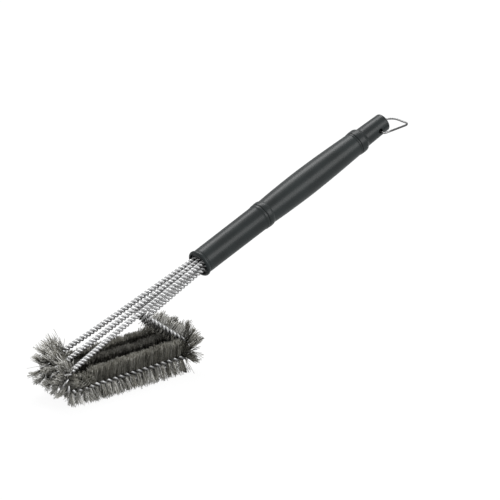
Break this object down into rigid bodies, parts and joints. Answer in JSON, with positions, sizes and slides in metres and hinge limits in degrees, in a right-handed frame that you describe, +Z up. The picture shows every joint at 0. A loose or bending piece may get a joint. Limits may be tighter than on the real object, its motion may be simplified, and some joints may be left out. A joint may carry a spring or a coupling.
{
  "type": "grill cleaning brush",
  "caption": "Long-handled wire brush for grill grates: side-by-side bristled triangles of twisted wire on a black plastic handle with a hinged wire hang loop.",
  "frame": {"origin": "middle of the flat scrubbing face, under the middle row of bristles", "axes": "+X from the nose towards the handle, level with the grate; +Y to the right of a person holding the handle; +Z up, away from the grate"},
  "size_m": [0.4579, 0.0775, 0.1856],
  "materials": {
    "wire_steel": "satin",
    "bristle_steel": "matte",
    "handle_plastic": "satin",
    "plug_plastic": "matte",
    "ferrule_steel": "satin",
    "loop_wire": "polished"
  },
  "bodies": {
    "brush": {"left_strand_a": "wire_steel", "left_strand_b": "wire_steel", "middle_strand_a": "wire_steel", "middle_strand_b": "wire_steel", "right_strand_a": "wire_steel", "right_strand_b": "wire_steel", "left_nose_bristles": "bristle_steel", "left_bed_bristles": "bristle_steel", "left_riser_bristles": "bristle_steel", "middle_nose_bristles": "bristle_steel", "middle_bed_bristles": "bristle_steel", "middle_riser_bristles": "bristle_steel", "right_nose_bristles": "bristle_steel", "right_bed_bristles": "bristle_steel", "right_riser_bristles": "bristle_steel", "front_sleeve": "handle_plastic", "grip_body": "handle_plastic", "end_cap": "handle_plastic", "wire_guide_plug": "plug_plastic", "crimp_ferrule": "ferrule_steel"},
    "hang_loop": {"hang_loop": "loop_wire"}
  },
  "joints": [
    {"name": "hang_loop_swing", "type": "hinge", "parent": "brush", "child": "hang_loop", "pos_m": [0.32954, 0, 0.17265], "axis": [0, -1, 0], "range_deg": [-140, 169]}
  ]
}
